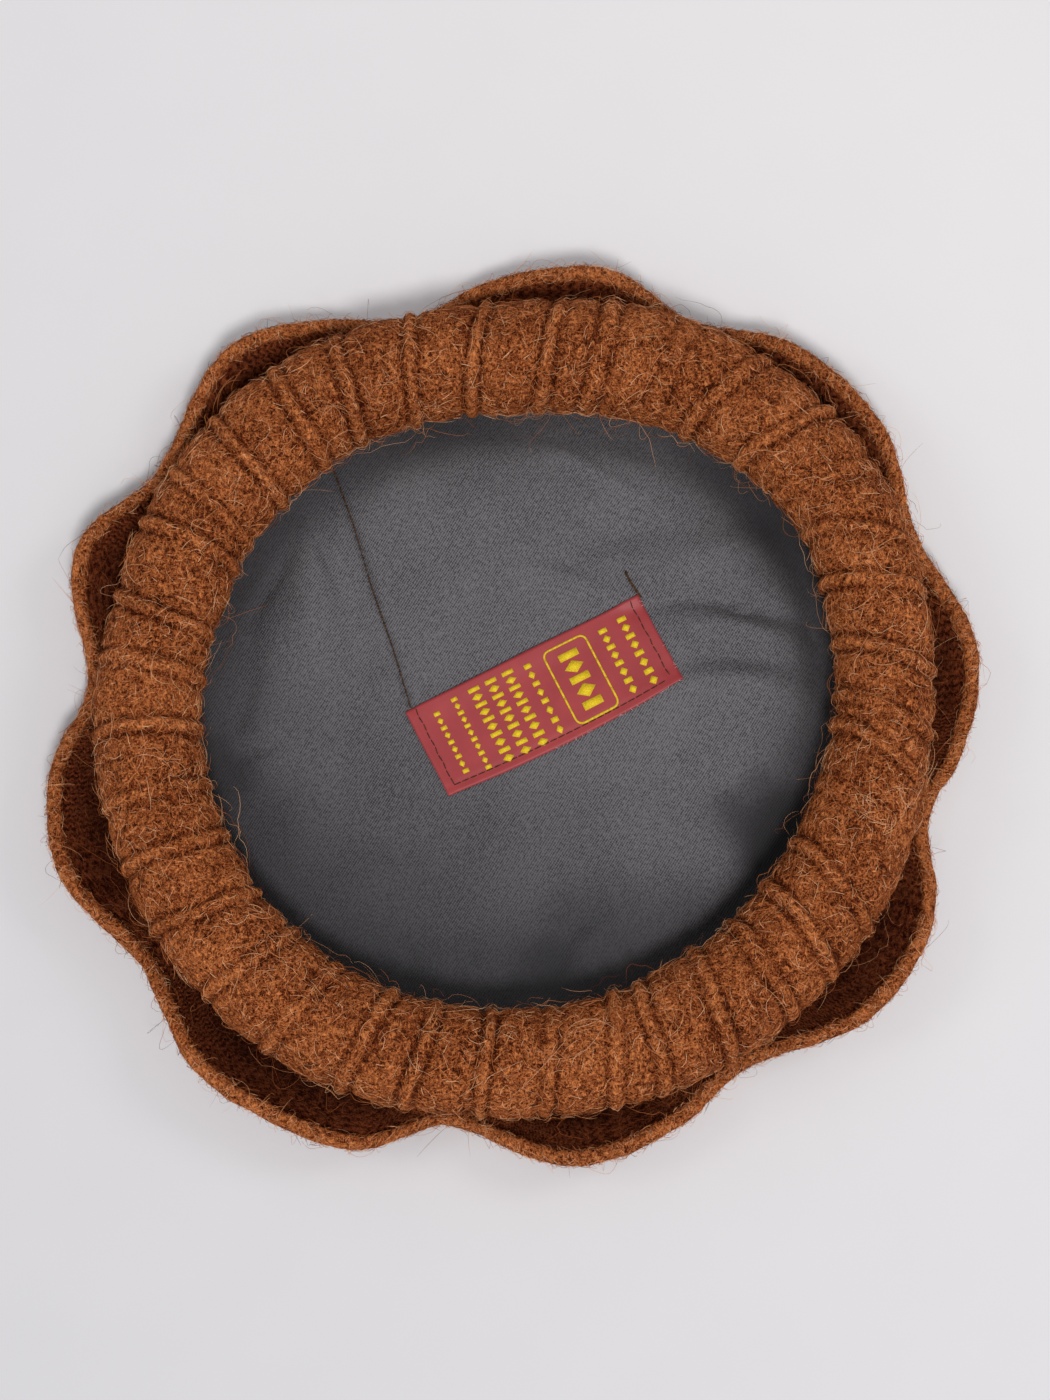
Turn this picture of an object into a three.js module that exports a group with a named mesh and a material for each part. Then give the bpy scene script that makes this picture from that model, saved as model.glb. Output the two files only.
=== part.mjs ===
import * as THREE from 'three';

// A soft wool cap with a rolled brim, lying upside down on its flat crown.
// Millimetres, +Z up, with the open head hollow facing up. The origin is on the
// resting surface under the middle of the crown. Angles are in degrees,
// anticlockwise seen from above, and 0 is along +X.

// Cloth thicknesses, and the small gap kept between neighbouring pieces
const woolWall = 2.5;
const liningWall = 1.0;
const labelWall = 0.8;
const gap = 0.3;

// The layers lie on each other: crown, then side band or lining, then brim or label
const secondLayer = woolWall + gap;
const brimFloor = secondLayer + woolWall + gap;

// The brim is a padded roll: one row for each section, seen from above
const brimHalfHeight = 14.6;
const brimMiddle = brimFloor + brimHalfHeight;
const brimSectionPoints = 14;
const brimSections = [
  { angle: 0, inner: 94.0, outer: 121.5 },
  { angle: 15, inner: 95.5, outer: 124.0 },
  { angle: 30, inner: 98.5, outer: 127.0 },
  { angle: 45, inner: 97.0, outer: 127.5 },
  { angle: 60, inner: 94.5, outer: 126.5 },
  { angle: 75, inner: 90.5, outer: 124.0 },
  { angle: 90, inner: 87.5, outer: 120.0 },
  { angle: 105, inner: 88.5, outer: 120.5 },
  { angle: 120, inner: 90.0, outer: 122.5 },
  { angle: 135, inner: 90.0, outer: 123.5 },
  { angle: 150, inner: 91.0, outer: 122.0 },
  { angle: 165, inner: 90.0, outer: 120.5 },
  { angle: 180, inner: 91.5, outer: 122.0 },
  { angle: 210, inner: 92.0, outer: 123.0 },
  { angle: 240, inner: 91.5, outer: 123.5 },
  { angle: 255, inner: 90.0, outer: 120.5 },
  { angle: 270, inner: 89.5, outer: 119.5 },
  { angle: 300, inner: 89.0, outer: 121.0 },
  { angle: 330, inner: 90.0, outer: 122.0 },
  { angle: 345, inner: 91.5, outer: 121.0 },
];

// Gathered ribs run across the roll. Each starts at an angle on the outside and leans
// by some degrees on its way to the inside. Rise is its strength, 1 for a full rib.
const ribHalfWidth = 2.3;
const ribHeight = 0.9;
const grooveDepth = 0.9;
const panelBulge = 0.6;
const ribs = [
  { angle: 4, lean: 6, rise: 1.0 },
  { angle: 15, lean: 6, rise: 1.0 },
  { angle: 22, lean: 8, rise: 1.0 },
  { angle: 33, lean: 5, rise: 0.5 },
  { angle: 43, lean: 4, rise: 1.0 },
  { angle: 54, lean: 4, rise: 1.0 },
  { angle: 65, lean: 0, rise: 0.5 },
  { angle: 76, lean: 0, rise: 1.0 },
  { angle: 83, lean: 2, rise: 1.0 },
  { angle: 94, lean: 4, rise: 1.0 },
  { angle: 105, lean: 4, rise: 1.0 },
  { angle: 116, lean: 4, rise: 1.0 },
  { angle: 126, lean: 2, rise: 1.0 },
  { angle: 137, lean: 2, rise: 1.0 },
  { angle: 146, lean: 3, rise: 1.0 },
  { angle: 154, lean: 0, rise: 1.0 },
  { angle: 165, lean: 3, rise: 1.0 },
  { angle: 174, lean: 2, rise: 1.0 },
  { angle: 185, lean: 0, rise: 1.0 },
  { angle: 195, lean: 0, rise: 1.0 },
  { angle: 204, lean: 1, rise: 1.0 },
  { angle: 213, lean: 4, rise: 1.0 },
  { angle: 224, lean: 3, rise: 1.0 },
  { angle: 235, lean: 2, rise: 1.0 },
  { angle: 246, lean: 2, rise: 1.0 },
  { angle: 255, lean: 1, rise: 1.0 },
  { angle: 265, lean: 1, rise: 1.0 },
  { angle: 274, lean: 3, rise: 1.0 },
  { angle: 284, lean: 4, rise: 1.0 },
  { angle: 291, lean: 2, rise: 1.0 },
  { angle: 301, lean: 4, rise: 1.0 },
  { angle: 311, lean: 3, rise: 1.0 },
  { angle: 319, lean: 4, rise: 1.0 },
  { angle: 327, lean: 6, rise: 1.0 },
  { angle: 339, lean: 6, rise: 0.5 },
  { angle: 348, lean: 8, rise: 1.0 },
  { angle: 355, lean: 6, rise: 1.0 },
];

// The rim of the crown flares out in lobes between drawn-in dents: one row for each
// crest, shoulder and dent, with the outside radius and the height of the rim's top
const rimFolds = [
  { angle: 7, radius: 137.0, height: 18.0 },
  { angle: 23, radius: 130.5, height: 12.5 },
  { angle: 36, radius: 138.0, height: 17.5 },
  { angle: 45, radius: 139.0, height: 18.0 },
  { angle: 54, radius: 137.5, height: 17.0 },
  { angle: 66, radius: 130.0, height: 11.5 },
  { angle: 78, radius: 136.0, height: 18.0 },
  { angle: 93, radius: 130.5, height: 15.0 },
  { angle: 105, radius: 123.0, height: 10.5 },
  { angle: 116, radius: 131.5, height: 14.5 },
  { angle: 128, radius: 138.0, height: 18.5 },
  { angle: 146, radius: 128.5, height: 13.0 },
  { angle: 160, radius: 138.0, height: 18.0 },
  { angle: 177, radius: 126.0, height: 11.5 },
  { angle: 188, radius: 137.0, height: 17.0 },
  { angle: 201, radius: 141.0, height: 19.0 },
  { angle: 215, radius: 132.0, height: 16.0 },
  { angle: 229, radius: 140.0, height: 20.0 },
  { angle: 243, radius: 139.0, height: 19.0 },
  { angle: 251, radius: 136.0, height: 16.0 },
  { angle: 261, radius: 123.0, height: 10.5 },
  { angle: 277, radius: 134.5, height: 18.0 },
  { angle: 291, radius: 131.0, height: 16.0 },
  { angle: 303, radius: 125.0, height: 11.5 },
  { angle: 317, radius: 136.5, height: 18.0 },
  { angle: 325, radius: 138.5, height: 19.0 },
  { angle: 334, radius: 136.0, height: 17.0 },
  { angle: 345, radius: 125.5, height: 11.5 },
  { angle: 354, radius: 132.0, height: 15.0 },
];

// The crown's wall turns up out of its flat floor in a curve that starts under the
// brim, a little outside the brim's middle line
const rimStations = 90;
const wallSteps = 5;
const floorReach = 3.0;
const wallFloorShare = 0.55;
const wallHeelDrop = 0.35;
const lipBulge = 0.4;
const lipTop = 3.0;

// The lip closes over the side band's edge. One row for each point round it, measured
// along the wall and across it from the crown's outer face.
const lipOutline = [
  { along: 1.4, across: -0.4 },
  { along: 2.5, across: 1.0 },
  { along: 3.0, across: 2.7 },
  { along: 2.5, across: 4.4 },
  { along: 1.3, across: 5.6 },
  { along: 0.1, across: 5.3 },
  { along: 0.1, across: 2.5 },
];

// The side band and the lining meet under the brim, and the band stops short of the lip
const bandInnerReach = 3.4;
const bandEdgeDrop = 0.6;
const liningEdgeReach = 4.0;

// The lining is a loose sheet: its edge lifts towards the brim, and soft folds cross it.
// One row for each fold, with its middle, direction, length, width and height.
const liningStations = 48;
const liningRings = [0.22, 0.4, 0.56, 0.7, 0.84, 1];
const liningLift = 1.4;
const liningLiftStart = 78;
const foldFadeStart = 80;
const foldFadeEnd = 96;
const liningFolds = [
  { x: 16, y: 40, angle: -23, length: 29, width: 5, rise: 1.2 },
  { x: -4, y: 64, angle: 10, length: 60, width: 16, rise: 1.8 },
  { x: 68, y: 34, angle: 18, length: 34, width: 7, rise: 1.4 },
  { x: 71, y: 10, angle: -11, length: 30, width: 8, rise: 1.2 },
  { x: 9, y: -74, angle: 50, length: 16, width: 6, rise: 2.2 },
  { x: 56, y: -60, angle: 34, length: 20, width: 7, rise: 1.8 },
  { x: 40, y: -42, angle: -65, length: 20, width: 6, rise: 0.9 },
  { x: -65, y: 49, angle: -84, length: 30, width: 8, rise: 1.4 },
  { x: -77, y: -8, angle: 80, length: 30, width: 8, rise: 1.4 },
];

// The label lies turned on the lining
const labelLength = 77.5;
const labelWidth = 28.5;
const labelTurn = 27;
const labelMiddle = { x: 8.7, y: 4.6 };
const labelCornerRadius = 0.8;

const radians = THREE.MathUtils.degToRad;
const mix = THREE.MathUtils.lerp;
const smooth = THREE.MathUtils.smoothstep;

// Reads one column of a table of rows round the ring, with a smooth curve between rows
function columnAt(rows, angle, column) {
  const turned = THREE.MathUtils.euclideanModulo(angle, 360);
  const found = rows.findIndex((row) => row.angle > turned);
  const next = found === -1 ? rows.length : found;
  const [before, from, to, after] = [-2, -1, 0, 1].map((step) => {
    const place = next + step;
    const turns = Math.floor(place / rows.length);
    const row = rows[place - turns * rows.length];
    return { angle: row.angle + turns * 360, value: row[column] };
  });
  const span = to.angle - from.angle;
  const slopeFrom = (to.value - before.value) / (to.angle - before.angle);
  const slopeTo = (after.value - from.value) / (after.angle - from.angle);
  const t = (turned - from.angle) / span;
  const rise = t * t * (3 - 2 * t);
  const leave = t * (1 - t) * (1 - t);
  const arrive = t * t * (t - 1);
  return mix(from.value, to.value, rise) + span * (leave * slopeFrom + arrive * slopeTo);
}

// The brim's middle line and half width at an angle
function brimAt(angle) {
  const inner = columnAt(brimSections, angle, 'inner');
  const outer = columnAt(brimSections, angle, 'outer');
  return { middle: (inner + outer) / 2, halfWidth: (outer - inner) / 2 };
}

function pointAt(angle, radius, height) {
  const turn = radians(angle);
  return [radius * Math.cos(turn), radius * Math.sin(turn), height];
}

function geometryFrom(points, faces) {
  const geometry = new THREE.BufferGeometry();
  geometry.setAttribute('position', new THREE.Float32BufferAttribute(points.flat(), 3));
  geometry.setIndex(faces.flat());
  geometry.computeVertexNormals();
  return geometry;
}

// Joins neighbouring sections with two triangles for each step along a section.
// Sections run from the top outwards, and stations run anticlockwise.
function stripFaces(stationCount, sectionCount, closedSection) {
  const faces = [];
  const lastStep = closedSection ? sectionCount : sectionCount - 1;
  for (let station = 0; station < stationCount; station += 1) {
    const here = station * sectionCount;
    const there = ((station + 1) % stationCount) * sectionCount;
    for (let step = 0; step < lastStep; step += 1) {
      const next = (step + 1) % sectionCount;
      faces.push([here + step, here + next, there + next]);
      faces.push([here + step, there + next, there + step]);
    }
  }
  return faces;
}

// A ring whose sections are closed outlines
function ringGeometry(sections) {
  return geometryFrom(sections.flat(), stripFaces(sections.length, sections[0].length, true));
}

// A disc whose sections run from near its top middle, round its edge, to near its
// bottom middle, where two single points close it
function discGeometry(sections, topMiddle, bottomMiddle) {
  const size = sections[0].length;
  const points = [...sections.flat(), topMiddle, bottomMiddle];
  const top = points.length - 2;
  const bottom = points.length - 1;
  const faces = stripFaces(sections.length, size, false);
  for (let station = 0; station < sections.length; station += 1) {
    const here = station * size;
    const there = ((station + 1) % sections.length) * size;
    faces.push([top, here, there]);
    faces.push([bottom, there + size - 1, here + size - 1]);
  }
  return geometryFrom(points, faces);
}

function evenAngles(count) {
  return Array.from({ length: count }, (_, index) => (index * 360) / count);
}

// The crown's outer face at an angle, from its flat floor up to the lip
function wallCurve(angle) {
  const radius = columnAt(rimFolds, angle, 'radius') - lipBulge;
  const height = columnAt(rimFolds, angle, 'height') - lipTop;
  const start = brimAt(angle).middle + floorReach;
  return new THREE.CubicBezierCurve(
    new THREE.Vector2(start, 0),
    new THREE.Vector2(mix(start, radius, wallFloorShare), 0),
    new THREE.Vector2(radius - lipBulge, height * wallHeelDrop),
    new THREE.Vector2(radius, height),
  );
}

// A point on the wall, moved along it and into the cap from the crown's outer face
function wallPoint(curve, share, along, across) {
  const place = curve.getPoint(share);
  const forward = curve.getTangent(share);
  return [
    place.x + forward.x * along - forward.y * across,
    place.y + forward.y * along + forward.x * across,
  ];
}

function wallShares() {
  return Array.from({ length: wallSteps + 1 }, (_, step) => step / wallSteps);
}

function crownGeometry() {
  const sections = evenAngles(rimStations).map((angle) => {
    const curve = wallCurve(angle);
    const inside = wallShares().slice(0, -1).map((share) => wallPoint(curve, share, 0, woolWall));
    const outside = wallShares().map((share) => wallPoint(curve, share, 0, 0));
    const lip = lipOutline.map((row) => wallPoint(curve, 1, row.along, row.across));
    const outline = [...inside, ...lip.reverse(), ...outside.reverse()];
    return outline.map(([radius, height]) => pointAt(angle, radius, height));
  });
  return discGeometry(sections, [0, 0, woolWall], [0, 0, 0]);
}

function sideBandGeometry() {
  const top = secondLayer + woolWall;
  const sections = evenAngles(rimStations).map((angle) => {
    const curve = wallCurve(angle);
    const inner = brimAt(angle).middle - bandInnerReach;
    const layer = (across) => wallShares().map((share) => {
      return wallPoint(curve, share, share === 1 ? -bandEdgeDrop : 0, across);
    });
    const upper = layer(top);
    const lower = layer(secondLayer);
    const outline = [[inner, top], ...upper, ...lower.reverse(), [inner, secondLayer]];
    return outline.map(([radius, height]) => pointAt(angle, radius, height));
  });
  return ringGeometry(sections);
}

// Four stations for each rib: its two grooves, its crest, and the bulging panel after it
function brimStations() {
  const halfTurn = THREE.MathUtils.radToDeg(ribHalfWidth / brimAt(0).middle);
  return ribs.flatMap((rib, index) => {
    const next = ribs[(index + 1) % ribs.length];
    const nextAngle = next.angle > rib.angle ? next.angle : next.angle + 360;
    const panel = { outer: (rib.angle + nextAngle) / 2, lean: (rib.lean + next.lean) / 2 };
    return [
      { outer: rib.angle - halfTurn, lean: rib.lean, offset: -grooveDepth * rib.rise },
      { outer: rib.angle, lean: rib.lean, offset: ribHeight * rib.rise },
      { outer: rib.angle + halfTurn, lean: rib.lean, offset: -grooveDepth * rib.rise },
      { ...panel, offset: panelBulge },
    ];
  });
}

// The relief fades out underneath, where the roll is pressed flat on the side band
function brimGeometry() {
  const sections = brimStations().map((station) => {
    return Array.from({ length: brimSectionPoints }, (_, step) => {
      const turn = Math.PI / 2 - (step / brimSectionPoints) * Math.PI * 2;
      const across = Math.cos(turn);
      const up = Math.sin(turn);
      const angle = station.outer + (station.lean * (1 - across)) / 2;
      const { middle, halfWidth } = brimAt(angle);
      const relief = station.offset * smooth(up, -0.85, -0.2);
      const radius = middle + (halfWidth + relief) * across;
      return pointAt(angle, radius, brimMiddle + (brimHalfHeight + relief) * up);
    });
  });
  return ringGeometry(sections);
}

// How far one soft fold lifts the lining at a place
function foldRise(fold, x, y) {
  const turn = radians(fold.angle);
  const along = (x - fold.x) * Math.cos(turn) + (y - fold.y) * Math.sin(turn);
  const across = (y - fold.y) * Math.cos(turn) - (x - fold.x) * Math.sin(turn);
  const spread = (along / (fold.length / 2)) ** 2 + (across / (fold.width / 2)) ** 2;
  return fold.rise * Math.exp(-spread);
}

function liningUnderside(angle, radius) {
  const [x, y] = pointAt(angle, radius, 0);
  const folds = liningFolds.reduce((sum, fold) => sum + foldRise(fold, x, y), 0);
  const fade = 1 - smooth(radius, foldFadeStart, foldFadeEnd);
  const lift = liningLift * smooth(radius, liningLiftStart, foldFadeEnd);
  return secondLayer + folds * fade + lift;
}

function liningGeometry() {
  const sections = evenAngles(liningStations).map((angle) => {
    const edge = brimAt(angle).middle - liningEdgeReach;
    const radii = liningRings.map((share) => share * edge);
    const under = radii.map((radius) => pointAt(angle, radius, liningUnderside(angle, radius)));
    const over = under.map(([x, y, z]) => [x, y, z + liningWall]);
    return [...over, ...under.reverse()];
  });
  const middle = liningUnderside(0, 0);
  return discGeometry(sections, [0, 0, middle + liningWall], [0, 0, middle]);
}

function labelGeometry() {
  const right = labelLength / 2;
  const top = labelWidth / 2;
  const corner = labelCornerRadius;
  const outline = new THREE.Shape();
  outline.moveTo(-right + corner, -top);
  outline.lineTo(right - corner, -top);
  outline.lineTo(right, -top + corner);
  outline.lineTo(right, top - corner);
  outline.lineTo(right - corner, top);
  outline.lineTo(-right + corner, top);
  outline.lineTo(-right, top - corner);
  outline.lineTo(-right, -top + corner);
  outline.closePath();
  return new THREE.ExtrudeGeometry(outline, { depth: labelWall, bevelEnabled: false });
}

function cloth(color, roughness) {
  return new THREE.MeshStandardMaterial({ color, roughness, metalness: 0 });
}

function piece(name, geometry, material) {
  const mesh = new THREE.Mesh(geometry, material);
  mesh.name = name;
  return mesh;
}

function labelPiece() {
  const label = piece('label', labelGeometry(), cloth(0xa33a44, 0.7));
  label.position.set(labelMiddle.x, labelMiddle.y, secondLayer + liningWall + gap);
  label.rotation.z = radians(labelTurn);
  return label;
}

const cap = new THREE.Group();
cap.add(piece('crown_disc', crownGeometry(), cloth(0x8e4d2a, 0.95)));
cap.add(piece('side_band', sideBandGeometry(), cloth(0x6e3419, 0.95)));
cap.add(piece('rolled_brim', brimGeometry(), cloth(0x96522d, 0.95)));
cap.add(piece('lining', liningGeometry(), cloth(0x58585c, 0.85)));
cap.add(labelPiece());

export default cap;
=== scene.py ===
import math

import bpy
import numpy as np
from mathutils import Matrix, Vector
from mathutils.bvhtree import BVHTree


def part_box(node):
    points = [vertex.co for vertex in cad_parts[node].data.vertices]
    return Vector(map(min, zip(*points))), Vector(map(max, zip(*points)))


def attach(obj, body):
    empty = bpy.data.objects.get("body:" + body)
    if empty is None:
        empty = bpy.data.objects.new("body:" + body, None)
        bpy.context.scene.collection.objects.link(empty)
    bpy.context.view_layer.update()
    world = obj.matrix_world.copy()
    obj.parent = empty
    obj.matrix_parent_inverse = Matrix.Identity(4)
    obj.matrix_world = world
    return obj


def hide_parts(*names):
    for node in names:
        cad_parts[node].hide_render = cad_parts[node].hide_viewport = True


# A soft wool cap with a rolled brim, lying upside down on its flat crown. Shapes are
# worked out in millimetres and turned into metres as each mesh is made. Angles round
# the cap are in degrees, anticlockwise seen from above, and 0 is along +X.
MM = 0.001

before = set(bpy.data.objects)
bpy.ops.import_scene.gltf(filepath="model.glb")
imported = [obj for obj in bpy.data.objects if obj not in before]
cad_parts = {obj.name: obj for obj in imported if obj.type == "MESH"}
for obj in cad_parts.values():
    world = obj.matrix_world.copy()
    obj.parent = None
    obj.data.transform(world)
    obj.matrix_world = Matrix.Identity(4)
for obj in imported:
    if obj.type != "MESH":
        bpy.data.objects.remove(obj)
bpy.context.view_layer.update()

# Cloth, as in the solids: how the layers lie on each other
WOOL_WALL = 2.5
LINING_WALL = 0.9
GAP = 0.3
SECOND_LAYER = WOOL_WALL + GAP
BAND_TOP = SECOND_LAYER + WOOL_WALL

# The crown's wall turns up out of its floor outside the brim's middle line
FLOOR_REACH = 3.0
WALL_FLOOR_SHARE = 0.55
WALL_HEEL_SHARE = 0.35
WALL_INSET = 0.4
WALL_LEAN = 0.4
LIP_RISE = 3.0
LIP_HALF_WIDTH = 2.3
LIP_MIDDLE = 1.9
LIP_DROP = 0.2
BAND_EASE = 1.2
BAND_EASE_START = 0.7
BAND_INNER_REACH = 3.4
LINING_EDGE_REACH = 4.0

# The shape of a rib across the roll, of the grooves beside it and of the wool between ribs
RIB_HALF_WIDTH = 1.8
RIB_HEIGHT = 1.5
RIB_STRENGTH = 0.85
GROOVE_OFFSET = 2.6
GROOVE_HALF_WIDTH = 0.75
GROOVE_DEPTH = 1.0
PANEL_BULGE = 0.9
PANEL_WIDTH = 18.0
FAR = 1e3

# The twist of the ribs, and the slanting stitches of the lip and the side band
TWIST_LENGTH = 2.9
TWIST_SLANT = 0.8
TWIST_HEIGHT = 0.12
LIP_STITCH = 3.0
LIP_STITCH_SLANT = 0.45
LIP_STITCH_HEIGHT = 0.17
BAND_STITCH = 2.8

# Rows of knitting down the side band, and painted shade down the trench: how far from the
# lip it is darkest, and its strength
KNIT_ROW = 2.6
PAINTED_SHADE_DEPTH = 13.0
PAINTED_SHADE_SHARE = 0.85

# Gathered ribs: where each starts on the roll's outside, how far it leans on its way to
# the inside, how strong it is, and how wide it is against the usual one
RIBS = [
    (4, 6, 1, 1), (15, 6, 1, 1), (22, 8, 0.9, 0.9), (33, 5, 0.5, 1.2),
    (43, 4, 1, 1), (54, 4, 1, 1.1), (65, 0, 0.5, 1.3), (76, 0, 1, 1.2),
    (83, 2, 0.9, 1), (94, 4, 1, 0.9), (105, 4, 0.9, 0.9), (116, 4, 1, 1),
    (126, 2, 1, 1), (137, 2, 1, 1), (146, 3, 0.8, 0.9), (154, 0, 1, 1),
    (165, 3, 1, 1), (174, 2, 0.9, 1), (185, 0, 1, 1), (195, 0, 0.9, 1),
    (204, 1, 1, 1), (213, 4, 1, 0.9), (224, 3, 0.9, 0.9), (235, 2, 0.9, 1),
    (246, 2, 1, 1), (255, 1, 1, 1), (265, 1, 1, 0.9), (274, 3, 0.8, 0.9),
    (284, 4, 1, 1), (291, 2, 0.9, 1), (301, 4, 1, 1), (311, 3, 0.9, 1),
    (319, 4, 1, 1), (327, 6, 0.9, 1), (339, 6, 0.5, 1.3), (348, 8, 1, 1),
    (355, 6, 0.9, 1),
]

# Unevenness: how much it moves, the size of its swells, and its seed
RIB_WANDER = [(0.9, 13.0, 3)]
RIB_UNEVEN = [(0.4, 11.0, 4)]
BRIM_UNEVEN = [(0.4, 14.0, 7), (0.2, 3.4, 11), (0.14, 1.7, 13)]
WALL_UNEVEN = [(0.35, 11.0, 21)]
LIP_UNEVEN = [(0.35, 6.0, 31), (0.2, 2.2, 35)]
LIP_STITCH_UNEVEN = [(1.0, 7.0, 33)]
LINING_UNEVEN = [(0.7, 26.0, 41), (0.35, 12.0, 43)]
DIP_WANDER = [(2.5, 16.0, 47)]
LABEL_UNEVEN = [(0.25, 11.0, 51)]
PAINTED_SHADE_WANDER = [(0.35, 15.0, 61)]
PAINTED_SIDE_SHADE_WANDER = [(0.12, 30.0, 63)]
PAINTED_DENT_WANDER = [(0.3, 9.0, 65)]

# Soft folds of the lining: middle x and y, direction, length, width, height
LINING_FOLDS = [
    (17, 40, -14, 34, 4, 1.5),
    (28, 53, 22, 36, 11, -2.5),
    (61, 48, 18, 34, 12, 2.8),
    (64, 32.5, -8, 48, 7, -3.8),
    (68, 25, -5, 34, 7, 2.1),
    (66, 8.5, 0, 40, 8, 2.4),
    (67, 16, 0, 30, 6, -2.1),
    (9, -76, 52, 26, 9, -5.1),
    (19, -69, 40, 22, 7, 2.4),
    (-33, -74, -45, 16, 8, -3.6),
    (-50, 42, -72, 78, 10, -3),
    (-58, 52, -60, 26, 3.5, -2.6),
    (-53, 48, -58, 30, 3.5, 1.8),
    (-46, 46, -64, 24, 3, -1.4),
    (-77, -11, 20, 14, 5, -2.6),
    (-74, 36, 70, 24, 4, -2.2),
    (-61, 38, -80, 46, 12, 2.2),
    (-84, 0, 85, 40, 10, -3.3),
    (-40, -50, 35, 40, 14, 1.8),
    (45, -35, -70, 34, 9, 1.5),
    (30, -56, -60, 24, 8, 1.4),
    (21, 75, -24, 50, 4, 1),
    (-12, 62, 15, 46, 18, 1.8),
]
LINING_BASE = 1.8
FOLD_BEND = 0.006
FOLD_WAVE = 7.0
FOLD_SIDE_REACH = 1.0
FOLD_FADE_START = 20.0
FOLD_FADE_END = -8.0
SOFT_FLOOR = 0.16

# The lining lies calmer under the label: how far from its middle, and by how much
CALM_START = 26.0
CALM_END = 48.0
CALM_BASE = 0.5
CALM_SWELLS = 0.85

# Where the lining swells up before it dips under the roll: direction, half width, height
LINING_SWELLS = [
    (-44, 26, 3.8),
    (14, 30, 3.4),
    (84, 34, 2.4),
]
SWELL_START = 30.0
SWELL_END = 72.0
SWELL_DIP_START = 13.0
SWELL_DIP_END = 2.0

# Painted shade under the roll on the lining: direction, how far it reaches, and its strength
LINING_PAINTED_ROLL_SHADE = [
    (8, 12, 0.75),
    (35, 14, 0.9),
    (52, 9, 0.75),
    (75, 5, 0.35),
    (106, 10, 0.75),
    (128, 8, 0.6),
    (155, 13, 0.8),
    (192, 20, 0.5),
    (230, 18, 0.45),
    (278, 27, 0.68),
    (302, 20, 0.65),
    (330, 14, 0.9),
]

# Painted shadows of dents in the lining: middle x and y, half width, and strength
LINING_PAINTED_DENT_SHADOWS = [
    (76, -34, 14, 0.88),
    (10, -75, 8, 0.6),
    (24, -70, 20, 0.3),
    (-89, -19, 12, 0.6),
    (-42, -68, 22, 0.25),
]

# Painted shade on the lining's dim side: its direction, how far it reaches, where it starts
# and ends as a share of that, and how dark it is
PAINTED_SIDE_SHADE = (-0.5, -0.86)
PAINTED_SIDE_SHADE_REACH = 85.0
PAINTED_SIDE_SHADE_START = -0.15
PAINTED_SIDE_SHADE_END = 1.05
PAINTED_SIDE_SHADE_SHARE = 0.56

# The seam across the lining to the label, how deep it draws the lining in, and how dark the
# painted shade along it is. Beyond the label lies a cut end of thread
SEAM = [(-54.6, 74.2), (-48.4, 57.0), (-42.4, 36.7), (-36.0, 18.4), (-30.7, 0.9)]
SEAM_DEPTH = 0.45
SEAM_HALF_WIDTH = 1.5
SEAM_PAINTED_SHADE = 0.5
SEAM_PAINTED_SHADE_WIDTH = 0.9
THREAD_TAIL = [(37.6, 34.2), (36.3, 36.0), (35.0, 37.8), (34.0, 39.6), (33.0, 41.6)]

# Stitches: the length of one, the gap to the next, and how high its middle rises
SEAM_STITCHES = (2.9, 0.2, 0.16)
LABEL_STITCHES = (2.2, 0.4, 0.2)

# Radii of threads
SEAM_THREAD = 0.25
LABEL_THREAD = 0.17
TAIL_THREAD = 0.24
FRAY_THREAD = 0.07
THREAD_SIDES = 5

# The label, turned on the lining
LABEL_LENGTH = 77.5
LABEL_WIDTH = 28.5
LABEL_TURN = 27.0
LABEL_MIDDLE = (8.7, 4.6)
LABEL_WALL = 0.45
LABEL_LIFT = 0.15
LABEL_BOW = 1.5
STITCH_INSET = 3.0
LOWER_STITCH_INSET = 2.4
FRAYS = 30
FRAY_LENGTH = 1.3

# Rows of plain woven marks across the label: place from its left end, number of marks,
# size along the label and across it, and how far the row reaches from the middle
LABEL_ROWS = [
    (8.0, 9, 1.9, 2.2, 9.4),
    (14.5, 11, 1.9, 2.1, 11.0),
    (21.0, 10, 3.6, 2.3, 11.0),
    (26.6, 10, 3.6, 2.3, 11.0),
    (32.2, 10, 3.6, 2.3, 11.0),
    (38.4, 8, 2.2, 2.6, 10.0),
    (50.8, 5, 6.2, 4.0, 7.6),
    (63.2, 8, 2.6, 2.6, 9.4),
    (69.8, 8, 2.8, 2.7, 10.0),
]
LABEL_FRAME = (43.6, 58.0)
LABEL_FRAME_HALF_HEIGHT = 11.6
LABEL_FRAME_CORNER = 2.2
LABEL_FRAME_LINE = 0.55
BAR_SHARE = 0.55
PRINT_RISE = 0.14
PRINT_SINK = 0.1

# Loose fibres bend over above this height, and stand no higher than the slack above it
HAIR_CEILING = 39.0
HAIR_SLACK = 4.0
HAIR_FLOOR = 0.15
FIBRE_ROOT = -0.25

# Loose fibres: how many, from and to which second coordinate of their surface, thickness,
# usual length and how much it varies, points in a path, curl, and height of arch and tip
FIBRES = {
    "brim_fuzz": (8800, (-0.6, math.pi + 0.6), 0.18, 4.0, 0.35, 4, 0.25, 0.2, 0.25),
    "brim_hairs": (3900, (-0.5, math.pi + 0.5), 0.12, 7.0, 0.45, 7, 0.22, 0.6, 1.1),
    "brim_strays": (420, (-0.35, math.pi + 0.35), 0.09, 15.0, 0.35, 11, 0.11, 2.6, 5.0),
    "rim_strays": (300, (-0.4, 1.6), 0.09, 9.0, 0.4, 11, 0.14, 1.6, 4.0),
    "rim_fuzz": (6400, (-0.3, math.pi + 0.2), 0.13, 3.0, 0.35, 4, 0.3, 0.4, 0.9),
    "side_fuzz": (2800, (0.25, 0.95), 0.13, 4.5, 0.4, 4, 0.25, 0.4, 0.7),
    "crown_fuzz": (2300, (0.35, 1.0), 0.14, 4.0, 0.4, 4, 0.25, 0.4, 0.6),
}
STRAY_SPREAD = 0.5

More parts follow.
